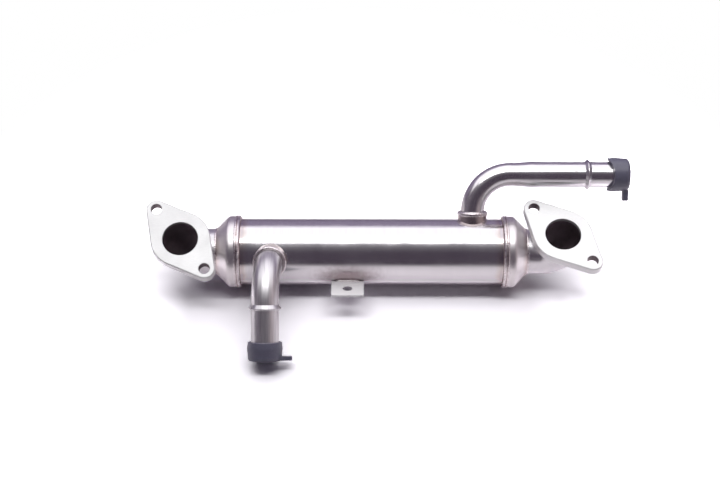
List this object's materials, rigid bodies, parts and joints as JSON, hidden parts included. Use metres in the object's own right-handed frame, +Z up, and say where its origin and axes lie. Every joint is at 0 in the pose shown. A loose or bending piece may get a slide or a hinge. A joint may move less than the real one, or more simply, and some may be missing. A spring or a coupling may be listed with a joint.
{
  "type": "exhaust gas recirculation cooler",
  "caption": "Shell-and-tube cooler for recirculated exhaust gas: straight round shell, coned ends, flanged elbows, capped coolant pipes and a bolt-on bracket.",
  "frame": {"origin": "centre of the inlet flange's outer face", "axes": "+X along the shell towards the outlet end, +Z up from the table it lies on, -Y towards the viewer of the picture"},
  "size_m": [0.3649, 0.1491, 0.0881],
  "materials": {
    "polished_steel": "polished stainless steel",
    "flange_steel": "satin blanked stainless steel",
    "bracket_steel": "bright stainless sheet",
    "weld_bead": "rippled weld metal",
    "core_steel": "plain stainless steel, brazed",
    "cap_plastic": "matte soft plastic, dark blue-grey"
  },
  "bodies": {
    "root": {"bracket_weld": "weld_bead", "coolant_inlet_cap": "cap_plastic", "coolant_inlet_collar": "polished_steel", "coolant_inlet_pipe": "polished_steel", "coolant_inlet_weld": "weld_bead", "coolant_outlet_cap": "cap_plastic", "coolant_outlet_collar": "polished_steel", "coolant_outlet_pipe": "polished_steel", "coolant_outlet_weld": "weld_bead", "gas_tube_01": "core_steel", "gas_tube_02": "core_steel", "gas_tube_03": "core_steel", "gas_tube_04": "core_steel", "gas_tube_05": "core_steel", "gas_tube_06": "core_steel", "gas_tube_07": "core_steel", "gas_tube_08": "core_steel", "gas_tube_09": "core_steel", "gas_tube_10": "core_steel", "gas_tube_11": "core_steel", "gas_tube_12": "core_steel", "gas_tube_13": "core_steel", "gas_tube_14": "core_steel", "gas_tube_15": "core_steel", "gas_tube_16": "core_steel", "gas_tube_17": "core_steel", "gas_tube_18": "core_steel", "gas_tube_19": "core_steel", "inlet_baffle": "core_steel", "inlet_elbow": "polished_steel", "inlet_end_cone": "polished_steel", "inlet_flange": "flange_steel", "inlet_flange_weld": "weld_bead", "inlet_neck_weld": "weld_bead", "inlet_skirt_weld": "weld_bead", "inlet_tube_sheet": "core_steel", "mounting_bracket": "bracket_steel", "outlet_baffle": "core_steel", "outlet_elbow": "polished_steel", "outlet_end_cone": "polished_steel", "outlet_flange": "flange_steel", "outlet_flange_weld": "weld_bead", "outlet_neck_weld": "weld_bead", "outlet_skirt_weld": "weld_bead", "outlet_tube_sheet": "core_steel", "shell": "polished_steel"}
  },
  "joints": []
}
